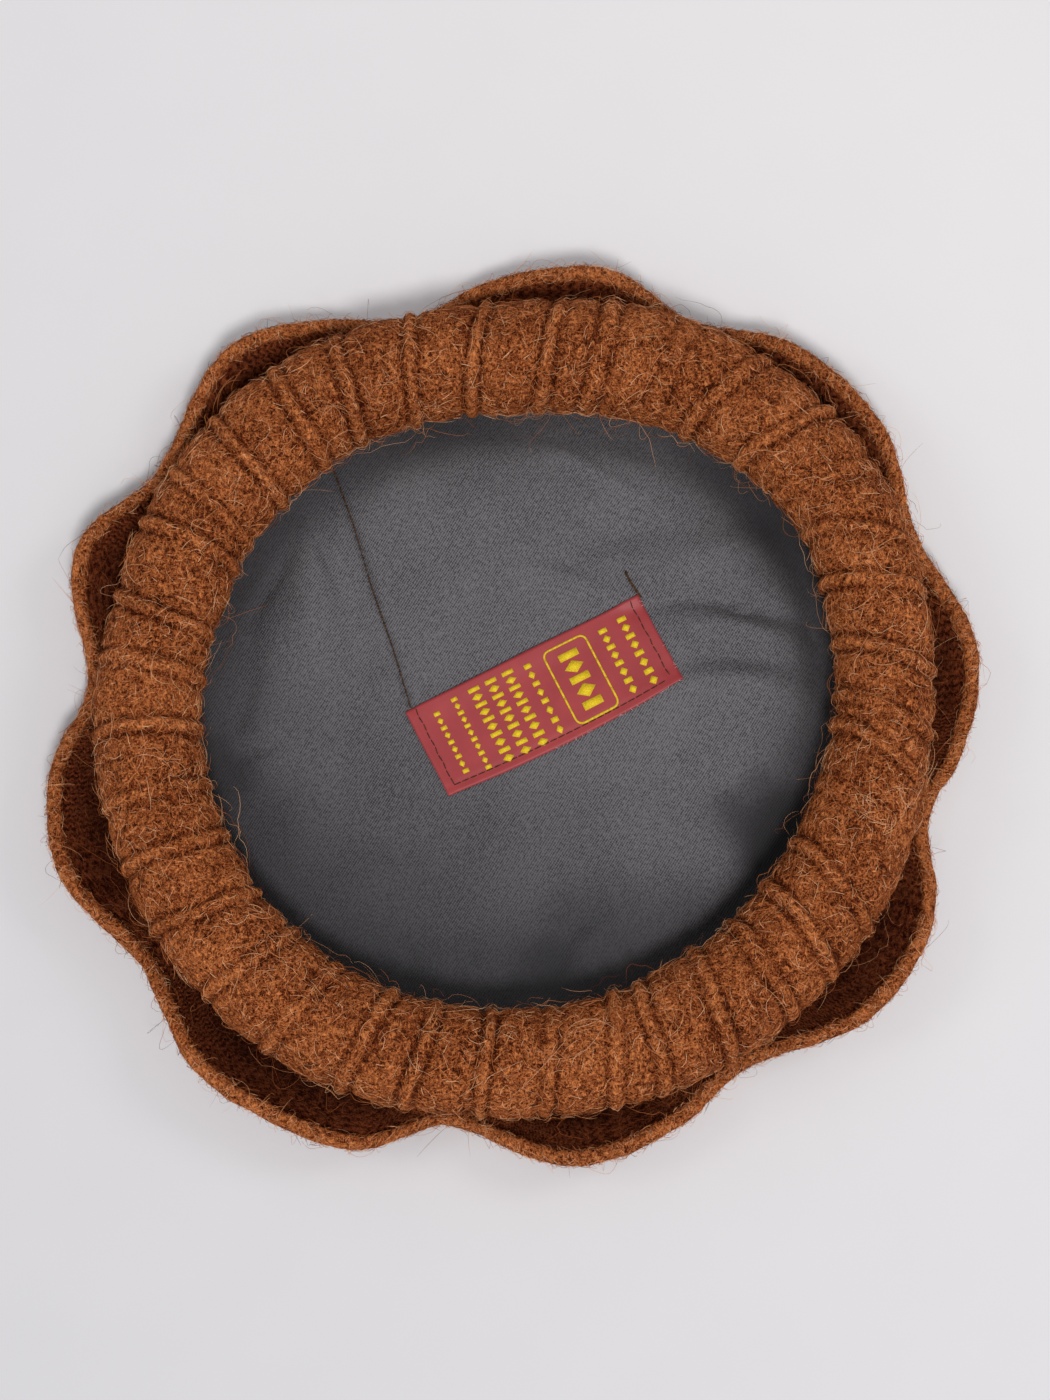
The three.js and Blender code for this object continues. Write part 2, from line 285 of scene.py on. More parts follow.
# Colours, from dark to light
WOOL = [(0.045, 0.01, 0.003), (0.21, 0.036, 0.008), (0.95, 0.32, 0.1)]
# Painted shade: the wool's colours times this make the darker copy used in the trench
WOOL_PAINTED_SHADE = (0.42, 0.31, 0.34)
HAIR = [(0.05, 0.012, 0.005), (0.38, 0.088, 0.022), (0.7, 0.24, 0.072), (0.95, 0.55, 0.3)]
# Darker hair for the trench: painted shade
PAINTED_SHADE_HAIR = [(0.03, 0.007, 0.002), (0.09, 0.02, 0.006), (0.14, 0.034, 0.01), (0.24, 0.07, 0.022)]
BROWN = [(0.02, 0.009, 0.004), (0.1, 0.05, 0.02)]
YELLOW = [(0.7, 0.45, 0.008), (0.9, 0.68, 0.03)]
PALE = [(0.4, 0.25, 0.25), (0.7, 0.5, 0.5)]
COTTON = [(0.03, 0.029, 0.032), (0.175, 0.167, 0.177)]
# Painted shade: the colour the lining is darkened towards in its shadowed places
COTTON_PAINTED_SHADE = (0.018, 0.017, 0.019)
SATIN = [(0.27, 0.022, 0.026), (0.42, 0.045, 0.048)]
FLOOR = [(0.66, 0.654, 0.674), (0.84, 0.826, 0.832)]

# The wool's tangle of fibres: scale, stretch and turn of each layer
WOOL_TANGLES = [
    (640.0, (1.0, 0.36, 0.8), (0.3, 0.2, 0.9)),
    (680.0, (0.36, 1.0, 0.8), (0.5, -0.4, 0.2)),
    (950.0, (0.8, 0.4, 0.4), (1.2, 0.4, -0.8)),
]

# The floor and the studio lights: place, size and power of each
FLOOR_HALF = 6000.0
FLOOR_DROP = 0.05
LAMPS = {
    "left_softbox": ((-1.2, 0.1, 1.15), 0.6, 2.7),
    "right_softbox": ((1.2, 0.4, 1.15), 0.6, 3.8),
    "front_softbox": ((0.14, -0.95, 1.9), 0.48, 27.0),
}
LAMP_COLOUR = (1.0, 0.985, 0.98)
SKY_COLOUR = (0.96, 0.97, 1.0)
SKY_STRENGTH = 0.34

# The camera looks down on the cap from 80 degrees above the table
VIEW_ELEVATION = 80.0
VIEW_DISTANCE = 0.85
VIEW_AIM = Vector((0.0031, 0.0007, 0.020))
PHOTO_HEIGHT = 1400
VIEW_FOCUS_PIXELS = 2918
SENSOR = 36.0


def box_mm(node):
    """A CAD node's lowest and highest corners in millimetres."""
    low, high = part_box(node)
    return np.array(low) / MM, np.array(high) / MM


def smooth(values, start, end):
    """0 below start, 1 above end, and a soft step between."""
    share = np.clip((values - start) / (end - start), 0, 1)
    return share * share * (3 - 2 * share)


def lattice_values(cells, seed):
    """A repeatable number from -1 to 1 for each whole-number cell."""
    mixed = (cells[..., 0] * 73856093) ^ (cells[..., 1] * 19349663) ^ (cells[..., 2] * 83492791)
    mixed = mixed ^ (seed * 2654435)
    mixed = (mixed ^ (mixed >> 13)) * 1274126177
    return ((mixed >> 7) & 0xFFFF) / 32767.5 - 1


def soft_noise(points, size, seed):
    """Smooth noise from -1 to 1 with swells of about that size."""
    scaled = points / size + seed * 7.31
    cell = np.floor(scaled).astype(np.int64)
    part = scaled - cell
    part = part * part * (3 - 2 * part)
    total = np.zeros(points.shape[:-1])
    for corner in np.ndindex(2, 2, 2):
        weight = np.where(np.array(corner) == 1, part, 1 - part).prod(axis=-1)
        total += weight * lattice_values(cell + np.array(corner), seed)
    return total


def uneven(points, swells):
    """The sum of smooth noises, each with how much it moves, its size and its seed."""
    return sum(reach * soft_noise(points, size, seed) for reach, size, seed in swells)


def bell(values):
    """1 at 0, and less and less away from it."""
    return np.exp(-(values**2))


def turning(angles):
    """Angles wrapped to run from -180 to 180 degrees."""
    return (angles + 180) % 360 - 180


def ring_points(angles, radii, heights):
    turn = np.radians(angles)
    return np.stack(np.broadcast_arrays(radii * np.cos(turn), radii * np.sin(turn), heights), -1)


def cad_tree(node):
    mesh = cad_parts[node].data
    points = [v.co / MM for v in mesh.vertices]
    return BVHTree.FromPolygons(points, [tuple(p.vertices) for p in mesh.polygons])


def brim_radii_from_frame():
    """The brim's inside and outside radius every half degree, with its ribs smoothed away."""
    low, high = box_mm("rolled_brim")
    height = (low[2] + high[2]) / 2
    tree = cad_tree("rolled_brim")
    angles = np.arange(0, 360, 0.5)
    far = 2 * high[0]
    inner = []
    outer = []
    for angle in np.radians(angles):
        out = Vector((math.cos(angle), math.sin(angle), 0))
        middle = Vector((0, 0, height))
        inner.append(tree.ray_cast(middle, out)[0].xy.length)
        outer.append(tree.ray_cast(middle + out * far, -out)[0].xy.length)
    spread = bell(turning(angles) / 6.0)
    spread = np.fft.rfft(spread / spread.sum())
    return [np.fft.irfft(np.fft.rfft(radii) * spread, len(angles)) for radii in (inner, outer)]


BRIM_INNER, BRIM_OUTER = brim_radii_from_frame()


def every_half_degree(values, angles):
    """Reads a table kept for every half degree at any angle."""
    place = (np.asarray(angles, float) % 360) * 2
    first = np.floor(place).astype(int) % len(values)
    part = place - np.floor(place)
    return values[first] * (1 - part) + values[(first + 1) % len(values)] * part


def brim_middle(angles):
    return every_half_degree((BRIM_INNER + BRIM_OUTER) / 2, angles)


def brim_half_width(angles):
    return every_half_degree((BRIM_OUTER - BRIM_INNER) / 2, angles)


def brim_radius(angles, turns):
    """How far from the cap's middle a place on the roll lies, before its ribs are added."""
    return brim_middle(angles) + brim_half_width(angles) * np.cos(turns)


def rim_from_frame():
    """The rim's outside radius and top height at each of the crown's stations."""
    points = np.array([v.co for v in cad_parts["crown_disc"].data.vertices]) / MM
    points = points[points[:, 2] > SECOND_LAYER]
    angles = np.round(np.degrees(np.arctan2(points[:, 1], points[:, 0])) % 360, 1) % 360
    stations = np.unique(angles)
    radii = [np.hypot(*points[angles == a, :2].T).max() for a in stations]
    heights = [points[angles == a, 2].max() for a in stations]
    return stations, np.array(radii), np.array(heights)


RIM_STATIONS, RIM_RADII, RIM_HEIGHTS = rim_from_frame()


def rim_values(values, angles):
    """A smooth closed curve through the values at the rim's stations."""
    count = len(RIM_STATIONS)
    place = (np.asarray(angles, float) % 360) / 360 * count
    first = np.floor(place).astype(int) % count
    t = place - np.floor(place)
    before, here, there, after = (values[(first + step) % count] for step in (-1, 0, 1, 2))
    leave = (there - before) / 2
    arrive = (after - here) / 2
    bend = 3 * (there - here) - 2 * leave - arrive
    turn = leave + arrive - 2 * (there - here)
    return here + leave * t + bend * t**2 + turn * t**3


def brim_relief(angles, turns):
    """The roll's surface: how far it stands out, its grooves and ribs from 0 to 1, and the
    phase of the ribs' twist."""
    radii = brim_radius(angles, turns)
    inward = (1 - np.cos(turns)) / 2
    places = ring_points(angles, radii, 15 * np.sin(turns))
    wander = uneven(places, RIB_WANDER)
    strength = RIB_STRENGTH + uneven(places, RIB_UNEVEN)
    relief, groove, ridge = (np.zeros(np.shape(angles)) for _ in range(3))
    before, after = (np.full(np.shape(angles), FAR) for _ in range(2))
    for start, lean, rise, width in RIBS:
        distance = np.radians(turning(angles - start - lean * inward)) * radii + wander
        body = np.exp(-(np.abs(distance / (RIB_HALF_WIDTH * width)) ** 2.3))
        trough = bell((np.abs(distance) - GROOVE_OFFSET * width) / GROOVE_HALF_WIDTH)
        relief += rise * strength * (RIB_HEIGHT * body - GROOVE_DEPTH * trough)
        groove = np.maximum(groove, rise * strength * trough)
        ridge = np.maximum(ridge, rise * strength * body)
        before = np.where(distance >= 0, np.minimum(before, distance), before)
        after = np.where(distance < 0, np.minimum(after, -distance), after)
    panel = before + after
    share = before / panel
    relief += PANEL_BULGE * np.minimum(panel / PANEL_WIDTH, 1.2) * (1 - (2 * share - 1) ** 2)
    across = np.where(before < after, before, -after)
    strand = (turns * brim_half_width(angles) + TWIST_SLANT * across) / TWIST_LENGTH
    relief += TWIST_HEIGHT * ridge * np.sin(2 * math.pi * strand)
    relief += uneven(places, BRIM_UNEVEN)
    return relief, groove, ridge, strand


def brim_surface(angles, turns, lift=0.0):
    """Points on the roll. A turn of 0 is its outside, a quarter turn its top."""
    low, high = box_mm("rolled_brim")
    half_height = (high[2] - low[2] - 0.9) / 2
    middle = low[2] + half_height
    radii = brim_radius(angles, turns)
    relief = brim_relief(angles, turns)[0]
    out = relief * smooth(np.sin(turns), -0.85, -0.25) + lift
    return ring_points(
        angles,
        radii + out * np.cos(turns),
        middle + (half_height + out) * np.sin(turns),
    )


def wall(angles, share):
    """The crown's outer face: radius, height and direction at a share of the way up."""
    radius = rim_values(RIM_RADII, angles) - WALL_INSET
    height = rim_values(RIM_HEIGHTS, angles) - LIP_RISE
    start = brim_middle(angles) + FLOOR_REACH
    heel = start + (radius - start) * WALL_FLOOR_SHARE
    radii = (start, heel, radius - WALL_LEAN, radius)
    heights = (0 * height, 0 * height, height * WALL_HEEL_SHARE, height)
    rest = 1 - share
    weights = (rest**3, 3 * rest**2 * share, 3 * rest * share**2, share**3)
    slopes = (
        -3 * rest**2,
        3 * rest**2 - 6 * rest * share,
        6 * rest * share - 3 * share**2,
        3 * share**2,
    )
    place = [sum(w * p for w, p in zip(weights, points)) for points in (radii, heights)]
    slope = [sum(w * p for w, p in zip(slopes, points)) for points in (radii, heights)]
    length = np.hypot(*slope)
    return place[0], place[1], slope[0] / length, slope[1] / length


def wall_surface(angles, share, across, along=0.0):
    """Points in the crown's wall, measured into the cap from its outer face."""
    radius, height, out, up = wall(angles, share)
    rough = ring_points(angles, radius, height)
    across = across + uneven(rough, WALL_UNEVEN) * smooth(share, 0.1, 0.7)
    return ring_points(angles, radius + out * along - up * across, height + up * along + out * across)


def lip_strand(angles, turns):
    """The phase of the slanting stitches that bind the lip."""
    around_lip = np.radians(angles) * rim_values(RIM_RADII, angles)
    return around_lip / LIP_STITCH + LIP_STITCH_SLANT * turns


def lip_surface(angles, turns, lift=0.0):
    """Points round the rim's lip. A turn of 0 is its outside, a half turn its inside."""
    full = np.ones(np.shape(angles))
    places = ring_points(angles, wall(angles, full)[0], 6 * turns)
    stitches = LIP_STITCH_HEIGHT * (1 + uneven(places, LIP_STITCH_UNEVEN))
    stitches = stitches * np.sin(turns).clip(0) ** 0.5
    swell = stitches * np.sin(2 * math.pi * lip_strand(angles, turns))
    swell = swell + uneven(places, LIP_UNEVEN)
    reach = LIP_HALF_WIDTH + swell + lift
    rise = LIP_RISE + swell + lift
    return wall_surface(
        angles,
        full,
        LIP_MIDDLE - reach * np.cos(turns),
        rise * np.sin(turns) - LIP_DROP,
    )


def along_line(line, count):
    """Evenly spaced points along the straight pieces between the given ones."""
    line = np.array(line, float)
    length = np.concatenate([[0], np.cumsum(np.hypot(*np.diff(line, axis=0).T))])
    places = np.linspace(0, length[-1], count)
    return np.stack([np.interp(places, length, line[:, axis]) for axis in (0, 1)], -1)


def seam_distance(x, y):
    """How far a place lies from the lining's seam."""
    place = np.stack([x, y], -1)
    nearest = np.full(np.shape(x), FAR)
    for start, end in zip(SEAM[:-1], SEAM[1:]):
        start = np.array(start)
        way = np.array(end) - start
        share = np.clip(((place - start) @ way) / (way @ way), 0, 1)
        away = np.linalg.norm(place - start - share[..., None] * way, axis=-1)
        nearest = np.minimum(nearest, away)
    return nearest


def in_hollow(x, y):
    """Where a place in the hollow lies: radius, angle, way to the roll, and point."""
    radius = np.hypot(x, y)
    angle = np.degrees(np.arctan2(y, x))
    to_roll = every_half_degree(BRIM_INNER, angle) - radius
    return radius, angle, to_roll, np.stack([x, y, 0 * x], -1)


def lining_height(x, y):
    """The height of the lining's top face."""
    radius, angle, to_roll, flat = in_hollow(x, y)
    folds = np.zeros(np.shape(x))
    for middle_x, middle_y, direction, length, width, rise in LINING_FOLDS:
        turn = math.radians(direction)
        along = (x - middle_x) * math.cos(turn) + (y - middle_y) * math.sin(turn)
        across = (y - middle_y) * math.cos(turn) - (x - middle_x) * math.sin(turn)
        across = across + FOLD_BEND * along**2 + FOLD_SIDE_REACH * np.sin(along / FOLD_WAVE)
        folds += rise * np.exp(-((along / (length / 2)) ** 2) - (across / (width / 2)) ** 2)
    label_x, label_y = LABEL_MIDDLE
    near_label = 1 - smooth(np.hypot(x - label_x, y - label_y), CALM_START, CALM_END)
    swells = uneven(flat, LINING_UNEVEN)
    folds += LINING_BASE * (1 - CALM_BASE * near_label) + swells * (1 - CALM_SWELLS * near_label)
    folds -= SEAM_DEPTH * bell(seam_distance(x, y) / SEAM_HALF_WIDTH)
    swell = np.zeros(np.shape(x))
    for direction, half_width, height in LINING_SWELLS:
        swell += height * bell(turning(angle - direction) / half_width)
    dip = to_roll + uneven(flat, DIP_WANDER)
    swell *= smooth(radius, SWELL_START, SWELL_END)
    swell *= smooth(dip, SWELL_DIP_END, SWELL_DIP_START)
    above = folds * smooth(to_roll, FOLD_FADE_END, FOLD_FADE_START) + swell
    above = 0.5 * (above + np.sqrt(above**2 + SOFT_FLOOR))
    return SECOND_LAYER + LINING_WALL + above


def lining_painted_shade(x, y):
    """How much painted shade darkens the lining, from 0 to 1: close to the roll, on its dim
    side, along its seam and in painted shadows of dents."""
    _, angle, to_roll, flat = in_hollow(x, y)
    directions, reaches, strengths = zip(*LINING_PAINTED_ROLL_SHADE)
    reach = np.interp(angle % 360, directions, reaches, period=360)
    strength = np.interp(angle % 360, directions, strengths, period=360)
    reach = reach * (1 + uneven(flat, PAINTED_SHADE_WANDER))
    near = strength * bell(np.maximum(to_roll, 0) / reach)
    side = (x * PAINTED_SIDE_SHADE[0] + y * PAINTED_SIDE_SHADE[1]) / PAINTED_SIDE_SHADE_REACH
    side = side + uneven(flat, PAINTED_SIDE_SHADE_WANDER)
    broad = PAINTED_SIDE_SHADE_SHARE * smooth(side, PAINTED_SIDE_SHADE_START, PAINTED_SIDE_SHADE_END)
    by_seam = SEAM_PAINTED_SHADE * bell(seam_distance(x, y) / SEAM_PAINTED_SHADE_WIDTH)
    light = (1 - near) * (1 - broad) * (1 - by_seam)
    wander = 1 + uneven(flat, PAINTED_DENT_WANDER)
    for middle_x, middle_y, half_width, dark in LINING_PAINTED_DENT_SHADOWS:
        away = np.hypot(x - middle_x, y - middle_y) / (half_width * wander)
        light = light * (1 - dark * np.exp(-(away**4)))
    return 1 - light


def new_piece(name, points, faces, attributes=None):
    """A mesh object from points in millimetres and faces with one number of corners."""
    faces = np.asarray(faces, np.int32)
    mesh = bpy.data.meshes.new(name)
    mesh.vertices.add(len(points))
    mesh.vertices.foreach_set("co", (np.asarray(points, float) * MM).ravel())
    mesh.loops.add(faces.size)
    mesh.loops.foreach_set("vertex_index", faces.ravel())
    mesh.polygons.add(len(faces))
    mesh.polygons.foreach_set("loop_start", np.arange(0, faces.size, faces.shape[1]))
    mesh.update(calc_edges=True)
    mesh.polygons.foreach_set("use_smooth", np.ones(len(faces), bool))
    for label, values in (attributes or {}).items():
        mesh.attributes.new(label, "FLOAT", "POINT").data.foreach_set("value", values.ravel())
    mesh.validate()
    piece = bpy.data.objects.new(name, mesh)
    bpy.context.scene.collection.objects.link(piece)
    return piece


def strip_faces(rows, columns, closed_rows=True, closed_columns=True):
    """Four-cornered faces of a grid of rows and columns. A row runs from the top outwards."""
    row = np.arange(rows if closed_rows else rows - 1)[:, None]
    column = np.arange(columns if closed_columns else columns - 1)[None, :]
    here = row * columns
    there = ((row + 1) % rows) * columns
    after = (column + 1) % columns
    return np.stack([here + column, here + after, there + after, there + column], -1).reshape(-1, 4)


def halved(quads):
    """Two triangles for each four-cornered face."""
    return np.vstack([quads[:, [0, 1, 2]], quads[:, [0, 2, 3]]])


def ring_piece(name, sections, attributes=None):
    """A closed ring from rows of closed sections."""
    rows, columns = sections.shape[:2]
    return new_piece(name, sections.reshape(-1, 3), strip_faces(rows, columns), attributes)


def disc_piece(name, sections, attributes=None):
    """A disc whose sections run from its top middle over its edge to its bottom middle.
    The first and last point of each section are the same middle points."""
    rows, columns = sections.shape[:2]
    middle = sections[:, 1:-1].reshape(-1, 3)
    points = np.vstack([middle, sections[0, 0], sections[0, -1]])
    inner = columns - 2
    faces = strip_faces(rows, inner, closed_columns=False)
    here = np.arange(rows) * inner
    there = np.roll(here, -1)
    top = np.full(rows, len(points) - 2)
    bottom = np.full(rows, len(points) - 1)
    caps = np.vstack([
        np.stack([top, here, there], -1),
        np.stack([bottom, there + inner - 1, here + inner - 1], -1),
    ])
    triangles = np.vstack([halved(faces), caps])
    kept = {}
    for label, values in (attributes or {}).items():
        kept[label] = np.concatenate([values[:, 1:-1].ravel(), values[0, :1], values[0, -1:]])
    return new_piece(name, points, triangles, kept)


def grid(rows, columns):
    """Row and column values as two arrays of one shape."""
    return np.meshgrid(rows, columns, indexing="ij")


def around(count):
    return np.arange(count) * 360.0 / count


def wool_values(ridge, strand, groove=0.0, depth=0.0):
    """What the wool's material reads at each point, in arrays of the strand's shape."""
    values = {"groove": groove, "ridge": ridge, "strand": strand, "depth": depth}
    return {label: value + 0 * strand for label, value in values.items()}


def make_brim():
    seen = np.radians(np.linspace(205, -25, 78))
    hidden = np.radians(np.linspace(-25, -155, 16))[1:-1]
    angles, turns = grid(around(1000), np.concatenate([seen, hidden]))
    _, groove, ridge, strand = brim_relief(angles, turns)
    return ring_piece("brim_roll", brim_surface(angles, turns), wool_values(ridge, strand, groove))


def make_crown():
    angles = around(1200)
    full = np.ones(len(angles))
    inside = np.linspace(0, 1, 7)[:-1]
    over = np.linspace(math.pi, 0, 13)
    outside = np.linspace(1, 0, 12)[1:]
    columns = [np.zeros((len(angles), 3)) + [0, 0, WOOL_WALL]]
    columns += [wall_surface(angles, s * full, WOOL_WALL) for s in inside]
    columns += [lip_surface(angles, t * full) for t in over]
    columns += [wall_surface(angles, s * full, 0.0) for s in outside]
    columns += [ring_points(angles, brim_middle(angles) * share, 0 * angles) for share in (0.8, 0.5)]
    columns += [np.zeros((len(angles), 3))]
    before = 1 + len(inside)
    after = len(columns) - before - len(over)
    lip = np.concatenate([np.zeros(before), np.sin(over).clip(0) ** 0.4, np.zeros(after)])
    turns = np.concatenate([np.full(before, math.pi), over, np.zeros(after)])
    strand = lip_strand(angles[:, None], turns)
    return disc_piece("crown_cloth", np.stack(columns, 1), wool_values(0.9 * lip, strand))


def inner_wall_across(shares):
    """How far the side band's inner face lies from the crown's outer face."""
    return BAND_TOP - BAND_EASE * smooth(shares, BAND_EASE_START, 1.0)


def make_band():
    angles = around(1000)
    shares = np.linspace(0, 1, 15)
    inner = brim_middle(angles) - BAND_INNER_REACH
    full = np.ones(len(angles))
    columns = [ring_points(angles, inner, BAND_TOP * full)]
    columns += [wall_surface(angles, s * full, inner_wall_across(s) * full) for s in shares]
    columns += [wall_surface(angles, s * full, SECOND_LAYER + 0.05) for s in shares[::-4]]
    columns += [ring_points(angles, inner, SECOND_LAYER * full)]
    sections = np.stack(columns, 1)
    lip = sections[:, len(shares)][:, None]
    depth = np.linalg.norm(sections - lip, axis=-1)
    strand = (np.radians(angles) * rim_values(RIM_RADII, angles) / BAND_STITCH)[:, None]
    return ring_piece("side_cloth", sections, wool_values(3.0, strand + 0 * depth, depth=depth))


def make_lining():
    angles = around(360)
    edge = brim_middle(angles) - LINING_EDGE_REACH
    shares = np.linspace(0, 1, 69)[1:]
    radii = edge[:, None] * shares
    flat = ring_points(angles[:, None], radii, 0 * radii)
    top = flat.copy()
    top[..., 2] = lining_height(flat[..., 0], flat[..., 1])
    under = top[:, ::-6].copy()
    under[..., 2] -= LINING_WALL
    height = float(lining_height(np.zeros(1), np.zeros(1))[0])
    first = np.zeros((len(angles), 1, 3)) + [0, 0, height]
    last = np.zeros((len(angles), 1, 3)) + [0, 0, height - LINING_WALL]
    sections = np.concatenate([first, top, under, last], 1)
    # Painted shade of the lining, kept on its points for its material
    painted_shade = lining_painted_shade(sections[..., 0], sections[..., 1])
    return disc_piece("lining_cloth", sections, {"painted_shade": painted_shade})


def on_label(along, across):
    """A place on the label, from its middle, as x and y. Its lower edge bows out a little."""
    low = smooth(-across, 0, LABEL_WIDTH / 2)
    across = across - LABEL_BOW * low * np.cos(math.pi * (along - 6) / 84).clip(0)
    turn = math.radians(LABEL_TURN)
    x = LABEL_MIDDLE[0] + along * math.cos(turn) - across * math.sin(turn)
    y = LABEL_MIDDLE[1] + along * math.sin(turn) + across * math.cos(turn)
    return x, y


def label_top(along, across):
    """The height of the label's top face: it dips at its stitches."""
    x, y = on_label(along, across)
    ends = np.abs(np.abs(along) - LABEL_LENGTH / 2 + STITCH_INSET)
    lower = np.abs(across + LABEL_WIDTH / 2 - LOWER_STITCH_INSET)
    dip = np.maximum(bell(ends / 0.8), 0.7 * bell(lower / 0.7))
    upper_edge = 0.5 * smooth(across, 6, LABEL_WIDTH / 2) * np.cos(math.pi * along / 90).clip(0)
    return lining_height(x, y) + LABEL_LIFT + LABEL_WALL + upper_edge - 0.3 * dip


def label_points(along, across, above=0.0):
    x, y = on_label(along, across)
    return np.stack([x, y, label_top(along, across) + above], -1)


def make_label():
    lengthwise = np.linspace(-0.5, 0.5, 79) * LABEL_LENGTH
    crosswise = np.linspace(0.5, -0.5, 37) * LABEL_WIDTH
    along, across = grid(lengthwise, crosswise)
    wavy = uneven(np.stack([along, across, 0 * along], -1), LABEL_UNEVEN)
    end = smooth(np.abs(along), LABEL_LENGTH / 2 - 1, LABEL_LENGTH / 2)
    side = smooth(np.abs(across), LABEL_WIDTH / 2 - 1, LABEL_WIDTH / 2)
    top = label_points(along + wavy * end, across + wavy * side)
    under = top.copy()
    under[..., 2] -= LABEL_WALL
    rows, columns = along.shape
    upper = strip_faces(rows, columns, False, False)[:, ::-1]
    lower = upper[:, ::-1] + rows * columns
    order = np.arange(rows * columns).reshape(rows, columns)
    border = np.concatenate([order[0, :-1], order[:-1, -1], order[-1, :0:-1], order[:0:-1, 0]])
    after = np.roll(border, -1)
    walls = np.stack([border, after, after + rows * columns, border + rows * columns], -1)
    points = np.vstack([top.reshape(-1, 3), under.reshape(-1, 3)])
    return new_piece("label_cloth", points, np.vstack([upper, lower, walls]))


def print_prisms(corners):
    """Thin raised prisms on the label from four-cornered marks in its own measures."""
    count = len(corners)
    above = label_points(corners[..., 0], corners[..., 1], PRINT_RISE).reshape(-1, 3)
    below = label_points(corners[..., 0], corners[..., 1], -PRINT_SINK).reshape(-1, 3)
    first = np.arange(count)[:, None] * 4 + np.arange(4)
    after = np.roll(first, -1, axis=1)
    low = count * 4
    sides = np.stack([after, first, first + low, after + low], -1).reshape(-1, 4)
    return np.vstack([above, below]), np.vstack([first, first[:, ::-1] + low, sides])


def row_marks():
    """The corners of the plain lozenges and bars that fill the label's rows."""
    marks = []
    for place, count, along_size, across_size, reach in LABEL_ROWS:
        middle = place - LABEL_LENGTH / 2
        long = along_size / 2
        wide = across_size / 2
        thin = wide * BAR_SHARE
        lozenge = [(long, 0), (0, wide), (-long, 0), (0, -wide)]
        bar = [(long, -thin), (long, thin), (-long, thin), (-long, -thin)]
        for number, across in enumerate(np.linspace(reach, -reach, count)):
            corners = lozenge if number % 2 else bar
            marks.append([(middle + a, across + b) for a, b in corners])
    return np.array(marks)


def frame_marks():
    """The corners of the pieces of the rounded frame on the label."""
    left, right = (value - LABEL_LENGTH / 2 for value in LABEL_FRAME)
    middle = (left + right) / 2
    half_along = (right - left) / 2 - LABEL_FRAME_CORNER
    half_across = LABEL_FRAME_HALF_HEIGHT - LABEL_FRAME_CORNER
    rings = []
    for radius in (LABEL_FRAME_CORNER, LABEL_FRAME_CORNER - LABEL_FRAME_LINE):
        ring = []
        for corner, (side, up) in enumerate([(1, 1), (-1, 1), (-1, -1), (1, -1)]):
            for turn in np.radians(np.linspace(0, 90, 5) + 90 * corner):
                ring.append((
                    middle + side * half_along + radius * math.cos(turn),
                    up * half_across + radius * math.sin(turn),
                ))
        rings.append(np.array(ring))
    outer, inner = (divided(ring) for ring in rings)
    return np.stack([outer, np.roll(outer, -1, 0), np.roll(inner, -1, 0), inner], 1)


def divided(ring, parts=6):
    """The same closed outline with each of its sides cut into equal parts."""
    shares = np.arange(parts)[:, None] / parts
    after = np.roll(ring, -1, 0)
    return np.concatenate([a + (b - a) * shares for a, b in zip(ring, after)])


def make_label_print():
    points, faces = print_prisms(np.concatenate([row_marks(), frame_marks()]))
    return new_piece("label_print", points, faces)


def tube_mesh(paths, radii, sides=3):
    """Tubes along paths, an array of paths by points by 3, with a radius at each point."""
    count, steps = paths.shape[:2]
    ahead = np.gradient(paths, axis=1)
    ahead /= np.linalg.norm(ahead, axis=-1, keepdims=True) + 1e-9
    up = np.zeros_like(ahead)
    up[..., 2] = 1
    steep = np.abs(ahead[..., 2]) > 0.9
    up[steep] = [1, 0, 0]
    side = np.cross(ahead, up)
    side /= np.linalg.norm(side, axis=-1, keepdims=True) + 1e-9
    over = np.cross(side, ahead)
    turns = np.arange(sides) * 2 * math.pi / sides
    ring = side[:, :, None] * np.cos(turns)[:, None] + over[:, :, None] * np.sin(turns)[:, None]
    points = paths[:, :, None] + ring * radii[..., None, None]
    first = np.arange(count) * steps * sides
    quads = first[:, None, None] + strip_faces(steps, sides, closed_rows=False)
    triangles = halved(quads.reshape(-1, 4)[:, ::-1])
    begin = first[:, None] + np.arange(sides)
    finish = begin + (steps - 1) * sides
    caps = [np.stack([begin[:, 0], begin[:, k], begin[:, k + 1]], -1) for k in range(1, sides - 1)]
    caps += [np.stack([finish[:, 0], finish[:, k + 1], finish[:, k]], -1) for k in range(1, sides - 1)]
    return points.reshape(-1, 3), np.vstack([triangles, *caps])


def stitch_paths(starts, ends, height):
    """Short threads from start to end that rise over the cloth in between."""
    shares = np.linspace(0, 1, 6)
    across = starts[:, None] + (ends - starts)[:, None] * shares[:, None]
    across[..., 2] += height * (np.sin(math.pi * shares) ** 0.6 * 1.3 - 0.55)
    return across


def stitches_along(points, stitch, gap, height):
    """Stitches along a line of points, each a thread that dips in at both ends."""
    length = np.concatenate([[0], np.cumsum(np.linalg.norm(np.diff(points, axis=0), axis=1))])
    begin = np.arange(0, length[-1] - stitch, stitch + gap)
    places = [
        np.stack([np.interp(at, length, points[:, axis]) for axis in range(3)], -1)
        for at in (begin, begin + stitch)
    ]
    return stitch_paths(places[0], places[1], height)


def thread_piece(name, paths, radius, sides=THREAD_SIDES):
    """Threads of one thickness along their paths."""
    points, faces = tube_mesh(paths, np.full(paths.shape[:2], radius), sides)
    return new_piece(name, points, faces)


